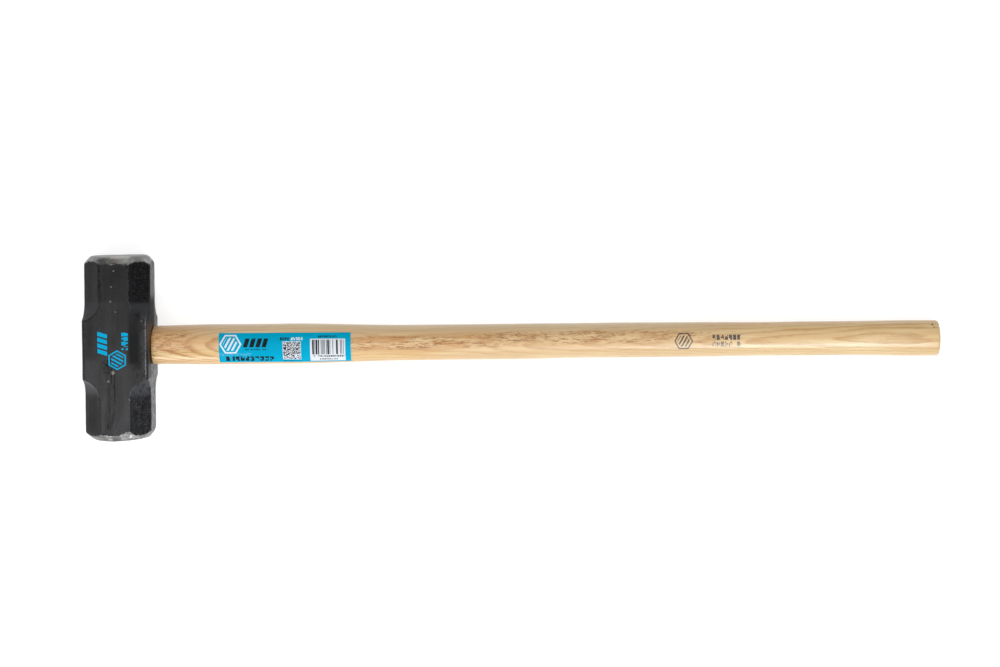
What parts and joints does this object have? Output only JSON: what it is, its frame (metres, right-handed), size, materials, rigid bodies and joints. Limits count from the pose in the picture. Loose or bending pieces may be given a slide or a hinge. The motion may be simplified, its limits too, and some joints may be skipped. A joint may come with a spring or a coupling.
{
  "type": "sledgehammer",
  "caption": "Long-handled sledgehammer with an octagonal double-faced steel head wedged onto an oval wooden handle that carries a sticker.",
  "frame": {"origin": "on the lower cheek of the head, under the middle of the eye, as the hammer lies on that cheek", "axes": "+X along the handle from the head towards the grip, +Y along the head from one striking face to the other, +Z out of the upper cheek"},
  "size_m": [0.9153, 0.1978, 0.07],
  "materials": {
    "head_paint": "satin",
    "hickory": "satin",
    "wedge_wood": "matte",
    "wedge_steel": "satin",
    "label_film": "gloss"
  },
  "bodies": {
    "root": {"head": "head_paint", "handle": "hickory", "wooden_wedge": "wedge_wood", "steel_wedge_1": "wedge_steel", "steel_wedge_2": "wedge_steel", "handle_label": "label_film"}
  },
  "joints": []
}
